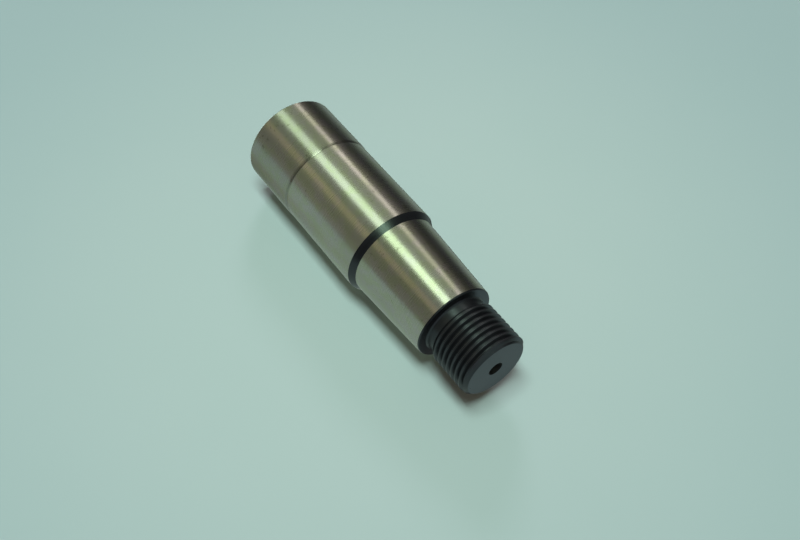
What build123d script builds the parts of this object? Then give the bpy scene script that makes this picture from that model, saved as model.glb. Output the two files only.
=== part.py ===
"""Taper-seat pin: one turned and ground steel piece with a male thread at its small end.

The pin stands on the flat face of its large end, on the origin, with its axis along +Z.
Going up it has a press seat, a journal, a relief chamfer, a 1:10 taper seat and a shoulder,
then an undercut neck and an M18 x 1.5 right-hand thread. Both ends keep their centre holes.
"""
from build123d import *
import math
import os

# Lengths along the axis, bottom to top (mm)
SEAT_L = 18.4
JOURNAL_L = 27.2
RELIEF_L = 1.8
TAPER_L = 23.2
SHOULDER_BREAK_L = 0.4
STUB_L = 15.0

# Diameters (mm)
SEAT_D = 25.3
JOURNAL_D = 25.0
TAPER_LARGE_D = 23.0
TAPER_RATIO = 10.0
SHOULDER_D = 20.4
NECK_D = 15.8
THREAD_D = 17.75

# Edges and fillets (mm)
FOOT_CHAMFER = 0.5
SEAT_LEAD_L = 0.8
NECK_L = 3.2
NECK_FILLET = 0.3
NECK_RAMP_L = 0.9
TIP_CHAMFER = 1.0

# Thread: pitch, depth, width of the crest's flat (mm), and flank angle (degrees).
# THREAD_CLOCK is the angle about +Z at which the groove starts, one pitch above the shoulder.
PITCH = 1.5
THREAD_DEPTH = 0.78
CREST_FLAT = 0.33
FLANK_ANGLE = 30.0
THREAD_CLOCK = 12.0
CUTTER_OVERSHOOT = 0.2

# Centre holes: mouth, pilot drill and depth of the pilot (mm)
CENTRE_MOUTH_D = 3.8
CENTRE_DRILL_D = 1.8
CENTRE_DEPTH = 4.2
CENTRE_HALF_ANGLE = 30.0
DRILL_HALF_ANGLE = 59.0

# Heights of the steps
Z_SEAT = SEAT_L
Z_JOURNAL = Z_SEAT + JOURNAL_L
Z_TAPER = Z_JOURNAL + RELIEF_L
Z_BREAK = Z_TAPER + TAPER_L
Z_SHOULDER = Z_BREAK + SHOULDER_BREAK_L
Z_TIP = Z_SHOULDER + STUB_L


def blank():
    """The turned blank: one profile revolved about the axis, before the thread is cut."""
    seat_r = SEAT_D / 2
    journal_r = JOURNAL_D / 2
    taper_large_r = TAPER_LARGE_D / 2
    taper_small_r = taper_large_r - TAPER_L / TAPER_RATIO / 2
    neck_r = NECK_D / 2
    thread_r = THREAD_D / 2
    neck_top = Z_SHOULDER + NECK_L
    with BuildPart() as turned:
        with BuildSketch(Plane.XZ):
            with BuildLine():
                Polyline(
                    (neck_r + NECK_FILLET, Z_SHOULDER),
                    (SHOULDER_D / 2, Z_SHOULDER),
                    (taper_small_r, Z_BREAK),
                    (taper_large_r, Z_TAPER),
                    (journal_r, Z_JOURNAL),
                    (journal_r, Z_SEAT),
                    (seat_r, Z_SEAT - SEAT_LEAD_L),
                    (seat_r, FOOT_CHAMFER),
                    (seat_r - FOOT_CHAMFER, 0),
                    (0, 0),
                    (0, Z_TIP),
                    (thread_r - TIP_CHAMFER, Z_TIP),
                    (thread_r, Z_TIP - TIP_CHAMFER),
                    (thread_r, neck_top),
                    (neck_r, neck_top - NECK_RAMP_L),
                    (neck_r, Z_SHOULDER + NECK_FILLET),
                )
                RadiusArc(
                    (neck_r, Z_SHOULDER + NECK_FILLET),
                    (neck_r + NECK_FILLET, Z_SHOULDER),
                    -NECK_FILLET,
                )
            make_face()
        revolve(axis=Axis.Z)
    return turned.part


def thread_cutter():
    """The V groove of the thread: a trapezoid swept up a right-hand helix, from neck to tip."""
    outer_r = THREAD_D / 2 + CUTTER_OVERSHOOT
    root_r = THREAD_D / 2 - THREAD_DEPTH
    slope = math.tan(math.radians(FLANK_ANGLE))
    mouth_half = (PITCH - CREST_FLAT) / 2
    outer_half = mouth_half + CUTTER_OVERSHOOT * slope
    root_half = mouth_half - THREAD_DEPTH * slope
    z_start = Z_SHOULDER + PITCH
    helix = Helix(
        pitch=PITCH,
        height=Z_TIP + PITCH - z_start,
        radius=THREAD_D / 2,
        center=(0, 0, z_start),
    )
    section = Plane.XZ * Polygon(
        (root_r, z_start - root_half),
        (outer_r, z_start - outer_half),
        (outer_r, z_start + outer_half),
        (root_r, z_start + root_half),
        align=None,
    )
    cutter = sweep(section, path=helix, is_frenet=True)
    return cutter.rotate(Axis.Z, THREAD_CLOCK)


def centre_hole():
    """A 60 degree centre hole, drawn mouth up at the origin."""
    mouth_r = CENTRE_MOUTH_D / 2
    drill_r = CENTRE_DRILL_D / 2
    cone_depth = (mouth_r - drill_r) / math.tan(math.radians(CENTRE_HALF_ANGLE))
    tip_depth = drill_r / math.tan(math.radians(DRILL_HALF_ANGLE))
    section = Plane.XZ * Polygon(
        (0, 0),
        (mouth_r, 0),
        (drill_r, -cone_depth),
        (drill_r, -CENTRE_DEPTH),
        (0, -CENTRE_DEPTH - tip_depth),
        align=None,
    )
    return revolve(section, axis=Axis.Z)


def taper_pin():
    """The finished pin: the blank less its thread groove and its two centre holes."""
    turned = blank()
    pin = turned - thread_cutter()
    if turned.volume - pin.volume < PITCH * STUB_L:
        raise ValueError("the thread wasn't cut: change CUTTER_OVERSHOOT a little")
    pin = pin - Pos(0, 0, Z_TIP) * centre_hole()
    return pin - Rot(180, 0, 0) * centre_hole()


os.makedirs("parts", exist_ok=True)
pin = taper_pin()
pin.label = "taper_pin"
export_step(pin, "parts/taper_pin.step")
print("taper_pin", "solids", len(pin.solids()), "volume", round(pin.volume, 1), "height", round(Z_TIP, 2))
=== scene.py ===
import math

import bmesh
import bpy
from mathutils import Matrix, Vector


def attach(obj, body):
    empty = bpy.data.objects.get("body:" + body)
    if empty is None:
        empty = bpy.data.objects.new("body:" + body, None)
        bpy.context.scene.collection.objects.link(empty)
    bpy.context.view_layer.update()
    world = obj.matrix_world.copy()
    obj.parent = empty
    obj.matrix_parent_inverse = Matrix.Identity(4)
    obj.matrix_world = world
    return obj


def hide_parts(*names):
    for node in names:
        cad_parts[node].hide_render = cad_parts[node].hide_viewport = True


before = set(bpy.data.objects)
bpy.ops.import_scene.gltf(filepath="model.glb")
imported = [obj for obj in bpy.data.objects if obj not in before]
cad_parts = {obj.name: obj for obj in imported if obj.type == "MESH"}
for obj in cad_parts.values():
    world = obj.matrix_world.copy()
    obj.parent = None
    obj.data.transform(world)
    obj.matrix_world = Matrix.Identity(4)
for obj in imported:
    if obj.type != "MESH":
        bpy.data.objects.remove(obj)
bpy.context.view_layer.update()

MM = 0.001
TURN_STEPS = 192

# The pin's bands from the back end up: radii, then the heights where they end, in millimetres.
SEAT_RADIUS = 12.65
JOURNAL_RADIUS = 12.5
TAPER_FOOT_RADIUS = 11.5
TAPER_HEAD_RADIUS = 10.34
SHOULDER_RADIUS = 10.2
NECK_RADIUS = 7.9
CREST_RADIUS = 8.875
JOURNAL_END = 45.6
RELIEF_END = 47.4
TAPER_END = 70.6
SHOULDER_HEIGHT = 71.0
NECK_END = 73.3
RAMP_END = 74.2
TIP_HEIGHT = 86.0
FOOT_CHAMFER = 0.5
TIP_CHAMFER = 1.0

# The slope of a 60 degree cone or groove: the centre holes' mouths and the thread's flanks.
FLANK_SLOPE = math.tan(math.radians(30.0))

# The lathe centre hole in each end: a cone, then a short drill with a 118 degree point.
MOUTH_RADIUS = 1.9
DRILL_RADIUS = 0.9
DRILL_END = 4.2
DRILL_POINT = DRILL_RADIUS / math.tan(math.radians(59.0))
CENTRE_CONE = (MOUTH_RADIUS - DRILL_RADIUS) / FLANK_SLOPE

# How far the outline's corners are rounded, in millimetres.
SHARP = 0.0
FINE_ROUND = 0.05
EDGE_ROUND = 0.06
FOOT_ROUND = 0.08
NECK_FILLET = 0.8

# The pin's outline from the drill point of the rear centre hole, round the outside, to the
# drill point of the front one: radius, height and corner rounding.
OUTLINE = (
    (0.0, DRILL_END + DRILL_POINT, SHARP),
    (DRILL_RADIUS, DRILL_END, SHARP),
    (DRILL_RADIUS, CENTRE_CONE, SHARP),
    (MOUTH_RADIUS, 0.0, FINE_ROUND),
    (SEAT_RADIUS - FOOT_CHAMFER, 0.0, FOOT_ROUND),
    (SEAT_RADIUS, FOOT_CHAMFER, FOOT_ROUND),
    # The seat's soft lead, which dips just under the journal's radius and rises to it again.
    (SEAT_RADIUS, 17.05, SHARP),
    (12.64, 17.45, SHARP),
    (12.6, 17.75, SHARP),
    (12.445, 18.15, SHARP),
    (12.45, 18.35, SHARP),
    (JOURNAL_RADIUS, 18.7, SHARP),
    (JOURNAL_RADIUS, JOURNAL_END, FINE_ROUND),
    (TAPER_FOOT_RADIUS, RELIEF_END, SHARP),
    (TAPER_HEAD_RADIUS, TAPER_END, FINE_ROUND),
    (SHOULDER_RADIUS, SHOULDER_HEIGHT, EDGE_ROUND),
    (NECK_RADIUS, SHOULDER_HEIGHT, NECK_FILLET),
    (NECK_RADIUS, NECK_END, SHARP),
    (CREST_RADIUS, RAMP_END, SHARP),
    (CREST_RADIUS, TIP_HEIGHT - TIP_CHAMFER, FINE_ROUND),
    (CREST_RADIUS - TIP_CHAMFER, TIP_HEIGHT, EDGE_ROUND),
    (MOUTH_RADIUS, TIP_HEIGHT, FINE_ROUND),
    (DRILL_RADIUS, TIP_HEIGHT - CENTRE_CONE, SHARP),
    (DRILL_RADIUS, TIP_HEIGHT - DRILL_END, SHARP),
    (0.0, TIP_HEIGHT - DRILL_END - DRILL_POINT, SHARP),
)
# Height ranges that were ground bright after blackening: seat with journal, and taper.
GROUND_BANDS = ((0.45, JOURNAL_END), (RELIEF_END, TAPER_END))
GROUND_MIN_RADIUS = 10.3
CENTRE_MOUTH_RADIUS = 1.88
GROUND, BLACK, DRILLED = range(3)

# The screw thread, in millimetres and degrees.
PITCH = 1.5
THREAD_DEPTH = 0.78
GROOVE_MOUTH_HALF = 0.585
CUTTER_OVERSHOOT = 0.2
THREAD_START = 72.5
THREAD_CLOCK = 12.0
THREAD_TURNS = 10

# Points this near each other are merged, in millimetres, and a sharper edge than the angle,
# in degrees, is shaded as a crease.
MERGE_OUTLINE = 0.001
MERGE_THREAD = 0.0005
CREASE_ANGLE = 20.0

# The depth of the tool lines, in metres, and how strongly old oil tints the steel.
LINE_DEPTH = 0.00002
FILM_COVER = 0.85

# The finishes' colours.
STEEL_IN_LINES = (0.545, 0.525, 0.465, 1.0)
STEEL_BETWEEN_LINES = (0.64, 0.62, 0.56, 1.0)
ROSE_FILM = (0.61, 0.565, 0.56, 1.0)
OLIVE_FILM = (0.575, 0.58, 0.455, 1.0)
HAND_SMEAR = (0.47, 0.46, 0.38, 1.0)
OIL_STAIN = (0.19, 0.19, 0.12, 1.0)
# Painted shade for the seat, and for the step between seat and journal:
SEAT_PAINTED_SHADE = (0.02, 0.02, 0.02, 1.0)
STEP_PAINTED_SHADE = (0.07, 0.07, 0.07, 1.0)
OXIDE_IN_LINES = (0.004, 0.0045, 0.005, 1.0)
OXIDE_BETWEEN_LINES = (0.009, 0.010, 0.011, 1.0)
OXIDE_SMEAR = (0.012, 0.012, 0.013, 1.0)
WORN_CREST = (0.022, 0.022, 0.024, 1.0)
HOLE_BLACK = (0.002, 0.002, 0.003, 1.0)
HOLE_DUST = (0.010, 0.010, 0.010, 1.0)
PAPER_NEAR = (0.42, 0.58, 0.53, 1.0)
# The paper's colour far out, darkened as a painted falloff of light.
PAPER_PAINTED_DIM = (0.34, 0.50, 0.475, 1.0)
PAPER_MOTTLE = (0.30, 0.50, 0.44, 1.0)
PAPER_SHADE = (0.05, 0.06, 0.06, 1.0)

# The paper the pin lies on touches its seat along one line; OFF_PAPER points away from it.
OFF_PAPER = Vector((1.0, -1.0, 0.0)).normalized()
ALONG_PAPER = Vector((1.0, 1.0, 0.0)).normalized()
MIDDLE = Vector((0.0, 0.0, 0.043))
PAPER_MIDDLE = MIDDLE - OFF_PAPER * (SEAT_RADIUS * MM)
ON_PAPER = OFF_PAPER.to_track_quat("Z", "Y").to_matrix().to_4x4()
PAPER_HALF_WIDTH = 3.0
SHADE_HALF_WIDTH = 0.06

# Where the shade under the neck and thread starts and stops: sideways from the pin's axis,
# and by height. Between the two distances of each pair it fades.
SHADE_SIDES = (0.006, 0.010)
SHADE_BELOW = (0.066, 0.070)
SHADE_ABOVE = (0.0855, 0.089)

# The room, in metres and degrees. An angle of 0 is straight above the pin as it lies, which
# is 45 degrees back from +X; angles grow the way a right-handed turn about +Z does.
ABOVE_THE_PIN = -45.0
CARD_DISTANCE = 1.2
PANEL_DISTANCE = 1.15
CARD_STEPS = 12

# How high a card reaches: foot and head.
FULL_HEIGHT = (-2.2, 1.6)
BELOW_EYES = (-2.2, 0.12)

# How a glow changes with height: two heights, then its strength at each of them.
EVEN_GLOW = (0.1, 0.3, 1.0, 1.0)
LONG_PANEL_FADE = (-0.82, -0.62, 0.49, 0.98)

# Curved cards: name, start and end angle, colour, reach and fade.
CARDS = (
    ("charcoal card", -92.0, -74.0, (0.040, 0.042, 0.043), FULL_HEIGHT, (-0.85, -0.5, 1.0, 0.78)),
    ("charcoal edge", -74.0, -60.0, (0.09, 0.09, 0.084), FULL_HEIGHT, (-0.85, -0.5, 1.0, 0.45)),
    ("dim paper edge", -103.0, -92.0, (0.085, 0.105, 0.095), FULL_HEIGHT, EVEN_GLOW),
    ("shaded paper edge", -118.0, -103.0, (0.19, 0.24, 0.205), FULL_HEIGHT, EVEN_GLOW),
    ("shaded card", -60.0, -44.0, (0.24, 0.23, 0.20), BELOW_EYES, (-0.85, -0.5, 1.0, 0.52)),
    ("grey card", -44.0, 0.0, (0.32, 0.37, 0.28), BELOW_EYES, EVEN_GLOW),
    ("olive card", 0.0, 31.0, (0.21, 0.24, 0.18), BELOW_EYES, (-0.85, -0.6, 1.0, 0.86)),
    ("brown card", 31.0, 46.0, (0.41, 0.395, 0.262), BELOW_EYES, (-0.7, -0.42, 1.0, 0.63)),
    ("dull olive card", 46.0, 57.0, (0.22, 0.235, 0.17), BELOW_EYES, (-0.8, -0.45, 1.0, 0.6)),
    ("dark olive card", 57.0, 72.0, (0.178, 0.193, 0.147), BELOW_EYES, (-0.8, -0.45, 1.0, 0.78)),
    ("olive paper edge", 72.0, 88.0, (0.212, 0.228, 0.175), BELOW_EYES, (-0.8, -0.45, 1.0, 0.7)),
    ("dark ceiling", -60.0, 98.0, (0.02, 0.02, 0.02), (0.12, 2.3), (0.88, 1.1, 1.0, 14.0)),
    ("yellow floor card", 132.0, 153.0, (0.20, 0.215, 0.14), (-2.2, -0.86), EVEN_GLOW),
    ("dim floor card", 153.0, 178.0, (0.12, 0.13, 0.085), (-2.2, -0.86), EVEN_GLOW),
    ("paper past the tip", 182.0, 235.0, (0.275, 0.385, 0.37), (0.25, 1.6), EVEN_GLOW),
    ("rear charcoal card", 209.0, 226.0, (0.06, 0.065, 0.06), (-2.2, 0.2), EVEN_GLOW),
)

# Flat lamp panels: name, angle, roll, length and width, middle's height, colour and fade.
PANELS = (
    ("rear lamp panel", 199.0, 0.0, (2.4, 0.26), -1.0, (1.7, 1.75, 1.6), EVEN_GLOW),
    ("cream lamp panel", -42.5, 22.0, (1.5, 0.19), -0.7, (1.4, 1.38, 1.2), (-0.8, -0.4, 1.0, 0.6)),
    ("long lamp panel", -1.6, 5.0, (2.64, 0.365), -1.2, (1.58, 2.06, 1.5), LONG_PANEL_FADE),
    ("step lamp panel", 2.5, 5.0, (0.22, 0.365), 0.23, (4.2, 5.4, 4.1), EVEN_GLOW),
    ("high lamp panel", 0.0, 5.0, (0.5, 0.365), 0.7, (4.8, 7.0, 4.2), EVEN_GLOW),
)
# A small flag close to the tip keeps the step and high panels' glare off the flat faces.
FLAG = ("flag by the tip", 0.0, 0.0, (0.053, 0.07), 0.0985, (0.13, 0.17, 0.155), EVEN_GLOW)
FLAG_DISTANCE = 0.04

# Soft lamps: name, angle, tilt, size, colour and power in watts.
LAMPS = (
    ("overhead lamp", 6.8, 4.0, (0.24, 0.5), (0.9, 0.99, 0.99), 8.3),
    ("low side lamp", -44.0, -42.0, (0.2, 0.25), (1.0, 0.8, 1.0), 2.0),
)

# The room behind it all: as the camera, as polish and as matt surfaces meet it.
ROOM_IN_VIEW = (0.42, 0.59, 0.54, 1.0)
ROOM_IN_POLISH = (0.285, 0.38, 0.33, 1.0)
ROOM_ON_MATT = (0.21, 0.15, 0.13, 1.0)


def add(tree, kind, inputs=None, **settings):
    """Adds a node to a tree, sets its properties, and fills or links its inputs."""
    made = tree.nodes.new(kind)
    for name, value in settings.items():
        setattr(made, name, value)
    for name, value in (inputs or {}).items():
        if isinstance(value, bpy.types.NodeSocket):
            tree.links.new(value, made.inputs[name])
        else:
            made.inputs[name].default_value = value
    return made


def maths(tree, operation, first, second=0.0):
    """One Math node; returns its value."""
    made = add(tree, "ShaderNodeMath", {0: first, 1: second}, operation=operation)
    return made.outputs[0]


def blend(tree, amount, first, second):
    """Mixes two colours by an amount from 0 to 1; returns the colour."""
    made = add(tree, "ShaderNodeMix", {0: amount, 6: first, 7: second}, data_type="RGBA")
    return made.outputs[2]


def span(tree, value, start, end, low=0.0, high=1.0):
    """Maps value from start..end to low..high with soft ends; returns the value."""
    made = add(
        tree,
        "ShaderNodeMapRange",
        {"Value": value, "From Min": start, "From Max": end, "To Min": low, "To Max": high},
        interpolation_type="SMOOTHSTEP",
    )
    return made.outputs["Result"]


def noise(tree, place, scale, detail, roughness=0.5):
    """A noise stretched by a scale for each axis, in cells a metre; returns the value."""
    stretched = add(tree, "ShaderNodeMapping", {"Vector": place, "Scale": scale})
    made = add(
        tree,
        "ShaderNodeTexNoise",
        {
            "Vector": stretched.outputs["Vector"],
            "Scale": 1.0,
            "Detail": detail,
            "Roughness": roughness,
        },
    )
    return made.outputs["Fac"]


def new_group(name, inputs, outputs):
    """An empty shader node group with float or vector inputs and float outputs."""
    group = bpy.data.node_groups.new(name, "ShaderNodeTree")
    for label, kind in inputs:
        group.interface.new_socket(label, in_out="INPUT", socket_type=kind)
    for label in outputs:
        group.interface.new_socket(label, in_out="OUTPUT", socket_type="NodeSocketFloat")
    return group, group.nodes.new("NodeGroupInput"), group.nodes.new("NodeGroupOutput")


def make_tool_lines():
    """Fine marks that run round the pin: grinding lines and the slower waves under them."""
    group, given, result = new_group(
        "tool lines",
        (("Place", "NodeSocketVector"), ("Waviness", "NodeSocketFloat")),
        ("Lines", "Waves"),
    )
    place = given.outputs["Place"]
    lines = noise(group, place, (150.0, 150.0, 2700.0), 4.0, 0.65)
    waves = noise(group, place, (60.0, 60.0, 620.0), 2.0)
    group.links.new(lines, result.inputs["Lines"])
    waves = maths(group, "MULTIPLY", waves, given.outputs["Waviness"])
    group.links.new(waves, result.inputs["Waves"])
    return group


def make_handling():
    """Marks from handling: soft cloudy smears, and sparse small specks of stain."""
    group, given, result = new_group(
        "handling marks",
        (("Place", "NodeSocketVector"), ("Speck Cover", "NodeSocketFloat")),
        ("Smears", "Specks"),
    )
    place = given.outputs["Place"]
    smears = noise(group, place, (95.0, 95.0, 60.0), 4.0, 0.6)
    group.links.new(span(group, smears, 0.38, 0.68), result.inputs["Smears"])
    specks = noise(group, place, (1150.0, 1150.0, 900.0), 2.0, 0.55)
    clusters = noise(group, place, (130.0, 130.0, 110.0), 1.0)
    edge = maths(group, "SUBTRACT", 0.86, given.outputs["Speck Cover"])
    reached = maths(group, "ADD", specks, maths(group, "MULTIPLY", clusters, 0.35))
    beyond = maths(group, "SUBTRACT", reached, edge)
    group.links.new(span(group, beyond, 0.0, 0.09), result.inputs["Specks"])
    return group


def new_material(name):
    """An empty material with its output; returns the material, its tree and the output."""
    made = bpy.data.materials.new(name)
    made.use_nodes = True
    tree = made.node_tree
    tree.nodes.clear()
    return made, tree, tree.nodes.new("ShaderNodeOutputMaterial")


def use_group(tree, group, **inputs):
    """Places a shared group in a material and fills its inputs."""
    filled = {label.replace("_", " "): value for label, value in inputs.items()}
    return add(tree, "ShaderNodeGroup", filled, node_tree=group)


def make_ground_steel(tool_lines, handling):
    """Bright steel, cylindrically ground: it mirrors sharply round the pin, softly along it."""
    material, tree, output = new_material("ground steel")
    place = add(tree, "ShaderNodeTexCoord").outputs["Object"]
    height = add(tree, "ShaderNodeSeparateXYZ", {"Vector": place}).outputs["Z"]
    marks = use_group(tree, tool_lines, Place=place, Waviness=1.0)
    hands = use_group(tree, handling, Place=place, Speck_Cover=0.02)

    line_tone = span(tree, marks.outputs["Lines"], 0.32, 0.68)
    colour = blend(tree, line_tone, STEEL_IN_LINES, STEEL_BETWEEN_LINES)
    film = span(tree, noise(tree, place, (430.0, 430.0, 250.0), 3.0, 0.6), 0.36, 0.64)
    oil_film = blend(tree, film, ROSE_FILM, OLIVE_FILM)
    colour = blend(tree, FILM_COVER, colour, oil_film)
    smear_tone = maths(tree, "MULTIPLY", hands.outputs["Smears"], 0.25)
    colour = blend(tree, smear_tone, colour, HAND_SMEAR)
    speck_tone = maths(tree, "MULTIPLY", hands.outputs["Specks"], 0.45)
    colour = blend(tree, speck_tone, colour, OIL_STAIN)
    # Painted shade: the seat is painted a little darker than the journal, and a thin painted dark
    # line lies in the step between them, standing in for the shade the polish mirrors there.
    seat_painted_shade = span(tree, height, 17.9 * MM, 18.2 * MM, 0.15, 0.0)
    colour = blend(tree, seat_painted_shade, colour, SEAT_PAINTED_SHADE)
    above = span(tree, height, 17.2 * MM, 17.7 * MM)
    below = span(tree, height, 18.2 * MM, 18.4 * MM, 1.0, 0.0)
    step_painted_shade = maths(tree, "MULTIPLY", maths(tree, "MULTIPLY", above, below), 0.25)
    colour = blend(tree, step_painted_shade, colour, STEP_PAINTED_SHADE)

    rough = span(tree, marks.outputs["Lines"], 0.2, 0.8, 0.24, 0.30)
    rough = maths(tree, "ADD", rough, maths(tree, "MULTIPLY", hands.outputs["Smears"], 0.03))
    relief = maths(tree, "MULTIPLY", marks.outputs["Waves"], 0.6)
    relief = maths(tree, "ADD", relief, marks.outputs["Lines"])
    bump = add(
        tree,
        "ShaderNodeBump",
        {"Strength": 0.28, "Distance": LINE_DEPTH, "Height": relief},
    )
    round_the_pin = add(tree, "ShaderNodeTangent", direction_type="RADIAL", axis="Z")
    shader = add(
        tree,
        "ShaderNodeBsdfPrincipled",
        {
            "Base Color": colour,
            "Metallic": 1.0,
            "Roughness": rough,
            "Anisotropic": 0.8,
            "Anisotropic Rotation": 0.25,
            "Normal": bump.outputs["Normal"],
            "Tangent": round_the_pin.outputs["Tangent"],
        },
    )
    tree.links.new(shader.outputs["BSDF"], output.inputs["Surface"])
    return material


def make_black_oxide(tool_lines, handling):
    """Blackened steel as turned: fine tool lines, a blue-black sheen, and pale worn crests."""
    material, tree, output = new_material("black oxide")
    place = add(tree, "ShaderNodeTexCoord").outputs["Object"]
    marks = use_group(tree, tool_lines, Place=place, Waviness=1.0)
    hands = use_group(tree, handling, Place=place)
    parts = add(tree, "ShaderNodeSeparateXYZ", {"Vector": place})
    flat = add(tree, "ShaderNodeCombineXYZ", {"X": parts.outputs["X"], "Y": parts.outputs["Y"]})
    radius = add(
        tree, "ShaderNodeVectorMath", {0: flat.outputs["Vector"]}, operation="LENGTH"
    ).outputs["Value"]

    line_tone = span(tree, marks.outputs["Lines"], 0.3, 0.7)
    colour = blend(tree, line_tone, OXIDE_IN_LINES, OXIDE_BETWEEN_LINES)
    smear_tone = maths(tree, "MULTIPLY", hands.outputs["Smears"], 0.35)
    colour = blend(tree, smear_tone, colour, OXIDE_SMEAR)
    on_crest = span(tree, radius, (CREST_RADIUS - 0.10) * MM, (CREST_RADIUS - 0.01) * MM)
    on_thread = span(tree, radius, (CREST_RADIUS + 0.1) * MM, (CREST_RADIUS + 0.2) * MM, 1.0, 0.0)
    wear = maths(tree, "MULTIPLY", on_crest, on_thread)
    uneven = span(tree, hands.outputs["Smears"], 0.0, 1.0, 0.15, 0.6)
    wear = maths(tree, "MULTIPLY", wear, uneven)
    colour = blend(tree, wear, colour, WORN_CREST)

    rough = span(tree, marks.outputs["Lines"], 0.2, 0.8, 0.27, 0.33)
    round_the_pin = add(tree, "ShaderNodeTangent", direction_type="RADIAL", axis="Z")
    bump = add(
        tree,
        "ShaderNodeBump",
        {"Strength": 0.5, "Distance": LINE_DEPTH, "Height": marks.outputs["Lines"]},
    )
    shader = add(
        tree,
        "ShaderNodeBsdfPrincipled",
        {
            "Base Color": colour,
            "Roughness": rough,
            "IOR": 1.75,
            "Specular Tint": (0.77, 0.85, 1.0, 1.0),
            "Anisotropic": 0.15,
            "Anisotropic Rotation": 0.25,
            "Normal": bump.outputs["Normal"],
            "Tangent": round_the_pin.outputs["Tangent"],
        },
    )
    tree.links.new(shader.outputs["BSDF"], output.inputs["Surface"])
    return material


def make_drilled_black():
    """The dull dark inside of a centre hole, where old oil has caught dust."""
    material, tree, output = new_material("drilled black")
    place = add(tree, "ShaderNodeTexCoord").outputs["Object"]
    dust = span(tree, noise(tree, place, (2400.0, 2400.0, 2400.0), 3.0), 0.4, 0.7)
    colour = blend(tree, dust, HOLE_BLACK, HOLE_DUST)
    shader = add(
        tree,
        "ShaderNodeBsdfPrincipled",
        {
            "Base Color": colour,
            "Roughness": span(tree, dust, 0.0, 1.0, 0.55, 0.8),
            "Specular IOR Level": 0.2,
        },
    )
    tree.links.new(shader.outputs["BSDF"], output.inputs["Surface"])
    return material


def draw_outline(mesh):
    """Puts the pin's half outline in the XZ plane, with its corners rounded."""
    corners = [mesh.verts.new((radius * MM, 0.0, height * MM)) for radius, height, _ in OUTLINE]
    for lower, upper in zip(corners, corners[1:]):
        mesh.edges.new((lower, upper))
    for corner, (_, _, rounding) in zip(corners, OUTLINE):
        if rounding:
            bmesh.ops.bevel(
                mesh,
                geom=[corner],
                offset=rounding * MM,
                offset_type="OFFSET",
                segments=3,
                profile=0.5,
                affect="VERTICES",
                material=-1,
            )


def turn_blank():
    """The blank off the lathe: the outline spun a full turn, with its finishes marked."""
    mesh = bmesh.new()
    draw_outline(mesh)
    bmesh.ops.spin(
        mesh,
        geom=mesh.verts[:] + mesh.edges[:],
        cent=(0.0, 0.0, 0.0),
        axis=(0.0, 0.0, 1.0),
        angle=math.tau,
        steps=TURN_STEPS,
        use_merge=True,
    )
    bmesh.ops.remove_doubles(mesh, verts=mesh.verts[:], dist=MERGE_OUTLINE * MM)
    bmesh.ops.recalc_face_normals(mesh, faces=mesh.faces[:])
    for face in mesh.faces:
        centre = face.calc_center_median()
        radius = math.hypot(centre.x, centre.y) / MM
        in_band = any(low < centre.z / MM < high for low, high in GROUND_BANDS)
        if in_band and radius > GROUND_MIN_RADIUS:
            face.material_index = GROUND
        else:
            face.material_index = DRILLED if radius < CENTRE_MOUTH_RADIUS else BLACK
    return mesh


def wind_cutter():
    """The threading tool's path: the groove's section wound up a right-hand screw."""
    mesh = bmesh.new()
    root = CREST_RADIUS - THREAD_DEPTH
    outer = CREST_RADIUS + CUTTER_OVERSHOOT
    root_half = GROOVE_MOUTH_HALF - THREAD_DEPTH * FLANK_SLOPE
    outer_half = GROOVE_MOUTH_HALF + CUTTER_OVERSHOOT * FLANK_SLOPE
    section = ((root, -root_half), (outer, -outer_half), (outer, outer_half), (root, root_half))
    points = [
        mesh.verts.new((radius * MM, 0.0, (THREAD_START + rise) * MM)) for radius, rise in section
    ]
    first_cap = mesh.faces.new(points)
    rim = list(first_cap.edges)
    wound = bmesh.ops.spin(
        mesh,
        geom=points + rim,
        cent=(0.0, 0.0, 0.0),
        axis=(0.0, 0.0, 1.0),
        dvec=(0.0, 0.0, PITCH * MM / TURN_STEPS),
        angle=math.tau * THREAD_TURNS,
        steps=TURN_STEPS * THREAD_TURNS,
    )
    last_rim = [part for part in wound["geom_last"] if isinstance(part, bmesh.types.BMEdge)]
    bmesh.ops.contextual_create(mesh, geom=last_rim)
    bmesh.ops.rotate(
        mesh,
        verts=mesh.verts[:],
        cent=(0.0, 0.0, 0.0),
        matrix=Matrix.Rotation(math.radians(THREAD_CLOCK), 3, "Z"),
    )
    bmesh.ops.recalc_face_normals(mesh, faces=mesh.faces[:])
    for face in mesh.faces:
        face.material_index = BLACK
    return mesh


def as_object(name, mesh, materials):
    """Turns a bmesh into an object of the scene."""
    data = bpy.data.meshes.new(name)
    mesh.to_mesh(data)
    mesh.free()
    for material in materials:
        data.materials.append(material)
    made = bpy.data.objects.new(name, data)
    bpy.context.scene.collection.objects.link(made)
    return made


def make_pin(finishes):
    """The whole pin in one piece: the blank with the thread cut into its stub."""
    pin = as_object("ground_taper_pin", turn_blank(), finishes)
    cutter = as_object("thread_cutter", wind_cutter(), finishes)
    cut = pin.modifiers.new("cut thread", "BOOLEAN")
    cut.operation = "DIFFERENCE"
    cut.solver = "EXACT"
    cut.object = cutter
    ready = pin.evaluated_get(bpy.context.evaluated_depsgraph_get())
    threaded = bpy.data.meshes.new_from_object(ready)
    pin.modifiers.clear()
    bpy.data.objects.remove(cutter)

    mesh = bmesh.new()
    mesh.from_mesh(threaded)
    bmesh.ops.remove_doubles(mesh, verts=mesh.verts[:], dist=MERGE_THREAD * MM)
    bmesh.ops.recalc_face_normals(mesh, faces=mesh.faces[:])
    for face in mesh.faces:
        face.smooth = True
    for edge in mesh.edges:
        edge.smooth = edge.calc_face_angle(0.0) < math.radians(CREASE_ANGLE)
    mesh.to_mesh(pin.data)
    mesh.free()
    bpy.data.meshes.remove(threaded)
    level = pin.modifiers.new("level shading", "WEIGHTED_NORMAL")
    level.keep_sharp = True
    level.weight = 80
    return pin


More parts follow.
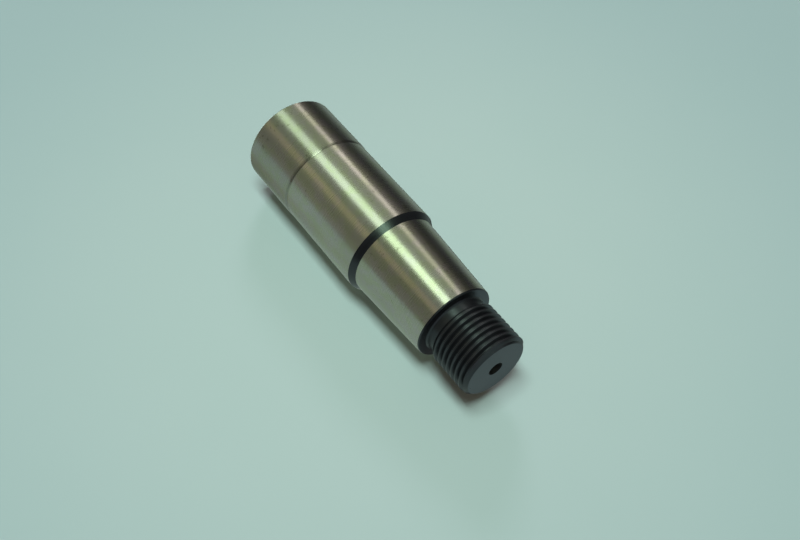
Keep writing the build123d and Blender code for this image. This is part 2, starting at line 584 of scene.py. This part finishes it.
def lay_flat(half_width):
    """A square that lies in the paper's plane."""
    mesh = bmesh.new()
    place = Matrix.Translation(PAPER_MIDDLE) @ ON_PAPER
    bmesh.ops.create_grid(mesh, x_segments=1, y_segments=1, size=half_width, matrix=place)
    return mesh


def make_paper():
    """Pale paper under the pin, seen from its upper side only, with a painted falloff of light:
    its colour is a little darker further out.
    """
    material, tree, output = new_material("pale paper")
    place = add(tree, "ShaderNodeTexCoord").outputs["Object"]
    from_middle = add(
        tree, "ShaderNodeVectorMath", {0: place, 1: MIDDLE}, operation="DISTANCE"
    ).outputs["Value"]
    # Painted falloff of light: the paper's colour darkens away from the pin.
    fade = span(tree, from_middle, 0.03, 0.16)
    colour = blend(tree, fade, PAPER_NEAR, PAPER_PAINTED_DIM)
    mottle = noise(tree, place, (30.0, 30.0, 30.0), 2.0)
    mottle = maths(tree, "MULTIPLY", span(tree, mottle, 0.3, 0.7), 0.05)
    colour = blend(tree, mottle, colour, PAPER_MOTTLE)
    paper = add(
        tree,
        "ShaderNodeBsdfPrincipled",
        {"Base Color": colour, "Roughness": 0.9, "Specular IOR Level": 0.1},
    )
    behind = add(tree, "ShaderNodeNewGeometry").outputs["Backfacing"]
    through = add(tree, "ShaderNodeBsdfTransparent")
    surface = add(
        tree,
        "ShaderNodeMixShader",
        {0: behind, 1: paper.outputs["BSDF"], 2: through.outputs["BSDF"]},
    )
    tree.links.new(surface.outputs["Shader"], output.inputs["Surface"])

    sheet = as_object("paper", lay_flat(PAPER_HALF_WIDTH), (material,))
    sheet.visible_glossy = False
    sheet.visible_diffuse = False
    sheet.visible_shadow = False


def glow_material(name, colour, fade):
    """Light of one colour; fade is two heights and how bright it is at each of them."""
    material, tree, output = new_material(name)
    place = add(tree, "ShaderNodeTexCoord").outputs["Object"]
    height = add(tree, "ShaderNodeSeparateXYZ", {"Vector": place}).outputs["Z"]
    strength = span(tree, height, *fade)
    glow = add(tree, "ShaderNodeEmission", {"Color": (*colour, 1.0), "Strength": strength})
    tree.links.new(glow.outputs["Emission"], output.inputs["Surface"])
    return material


def hang_up(name, mesh, material):
    """Puts a card or panel in the room, where only the pin's polish sees it."""
    hung = as_object(name, mesh, (material,))
    hung.visible_camera = False
    hung.visible_diffuse = False
    hung.visible_shadow = False


def make_shade():
    """The dark of the paper under the neck and thread, as the pin's polish sees it."""
    material, tree, output = new_material("shade under the pin")
    place = add(tree, "ShaderNodeTexCoord").outputs["Object"]
    sideways = add(
        tree, "ShaderNodeVectorMath", {0: place, 1: ALONG_PAPER}, operation="DOT_PRODUCT"
    ).outputs["Value"]
    height = add(tree, "ShaderNodeSeparateXYZ", {"Vector": place}).outputs["Z"]
    clear = span(tree, maths(tree, "ABSOLUTE", sideways), *SHADE_SIDES)
    clear = maths(tree, "MAXIMUM", clear, span(tree, height, *SHADE_ABOVE))
    clear = maths(tree, "MAXIMUM", clear, span(tree, height, *SHADE_BELOW, 1.0, 0.0))
    dark = add(tree, "ShaderNodeEmission", {"Color": PAPER_SHADE})
    through = add(tree, "ShaderNodeBsdfTransparent")
    surface = add(
        tree,
        "ShaderNodeMixShader",
        {0: clear, 1: dark.outputs["Emission"], 2: through.outputs["BSDF"]},
    )
    tree.links.new(surface.outputs["Shader"], output.inputs["Surface"])
    hang_up("shade under the pin", lay_flat(SHADE_HALF_WIDTH), material)


def make_card(name, start, end, colour, reach, fade):
    """A curved studio card round the pin: start and end are degrees from straight above it."""
    mesh = bmesh.new()
    turn = Matrix.Rotation(math.radians(start + ABOVE_THE_PIN), 3, "Z")
    edge_at = turn @ Vector((CARD_DISTANCE, 0.0, 0.0))
    foot = mesh.verts.new(edge_at + Vector((0.0, 0.0, reach[0])))
    head = mesh.verts.new(edge_at + Vector((0.0, 0.0, reach[1])))
    upright = mesh.edges.new((foot, head))
    bmesh.ops.spin(
        mesh,
        geom=[foot, head, upright],
        cent=(0.0, 0.0, 0.0),
        axis=(0.0, 0.0, 1.0),
        angle=math.radians(end - start),
        steps=CARD_STEPS,
    )
    hang_up(name, mesh, glow_material(name, colour, fade))


def make_panel(name, angle, roll, size, height, colour, fade, away=PANEL_DISTANCE):
    """A flat upright panel off the pin: angle from straight above it, roll in its own plane."""
    turn = Matrix.Rotation(math.radians(angle + ABOVE_THE_PIN), 4, "Z")
    stand = Matrix.Translation((away, 0.0, height)) @ Matrix.Rotation(math.radians(-roll), 4, "X")
    upright = Matrix.Rotation(math.radians(90.0), 4, "Y") @ Matrix.Diagonal((*size, 1.0, 1.0))
    mesh = bmesh.new()
    bmesh.ops.create_grid(mesh, x_segments=1, y_segments=1, size=0.5)
    bmesh.ops.transform(mesh, matrix=turn @ stand @ upright, verts=mesh.verts[:])
    hang_up(name, mesh, glow_material(name, colour, fade))


def make_lamp(name, angle, tilt, size, colour, power):
    """A soft lamp a metre from the pin: angle from straight above it, tilt along its axis."""
    light = bpy.data.lights.new(name, "AREA")
    light.shape = "RECTANGLE"
    light.size, light.size_y = size
    light.color = colour
    light.energy = power
    lamp = bpy.data.objects.new(name, light)
    turn = math.radians(angle + ABOVE_THE_PIN)
    rise = math.radians(tilt)
    towards = Matrix.Rotation(turn, 3, "Z") @ Vector((math.cos(rise), 0.0, math.sin(rise)))
    lamp.location = MIDDLE + towards
    lamp.rotation_euler = towards.to_track_quat("Z", "Y").to_euler()
    lamp.visible_camera = False
    lamp.visible_glossy = False
    bpy.context.scene.collection.objects.link(lamp)


def light_room():
    """Studio light: a pale room, cards and lamp panels for the polish, and two soft lamps."""
    room = bpy.data.worlds.new("pale room")
    bpy.context.scene.world = room
    room.use_nodes = True
    tree = room.node_tree
    path = add(tree, "ShaderNodeLightPath")
    seen = blend(tree, path.outputs["Is Glossy Ray"], ROOM_ON_MATT, ROOM_IN_POLISH)
    seen = blend(tree, path.outputs["Is Camera Ray"], seen, ROOM_IN_VIEW)
    tree.links.new(seen, tree.nodes["Background"].inputs["Color"])
    for card in CARDS:
        make_card(*card)
    for panel in PANELS:
        make_panel(*panel)
    make_panel(*FLAG, away=FLAG_DISTANCE)
    make_shade()
    for lamp in LAMPS:
        make_lamp(*lamp)


def place_camera():
    """The camera above the threaded end, looking down on the paper and back along the pin."""
    lens = bpy.data.cameras.new("camera")
    lens.lens = 43.192
    lens.sensor_width = 36.0
    lens.clip_start = 0.01
    camera = bpy.data.objects.new("camera", lens)
    right = Vector((-0.574447, -0.574447, 0.583113))
    up = Vector((0.081507, -0.748983, -0.657556))
    forward = Vector((-0.814473, 0.330204, -0.477073))
    spot = Vector((0.188141, -0.074855, 0.161073))
    turned = Matrix((right, up, -forward)).transposed().to_4x4()
    camera.matrix_world = Matrix.Translation(spot) @ turned
    bpy.context.scene.collection.objects.link(camera)
    bpy.context.scene.camera = camera


place_camera()
bpy.context.scene.view_settings.view_transform = "Standard"
light_room()
make_paper()
tool_lines = make_tool_lines()
handling = make_handling()
ground_steel = make_ground_steel(tool_lines, handling)
black_oxide = make_black_oxide(tool_lines, handling)
pin = make_pin((ground_steel, black_oxide, make_drilled_black()))
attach(pin, "root")
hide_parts("taper_pin")
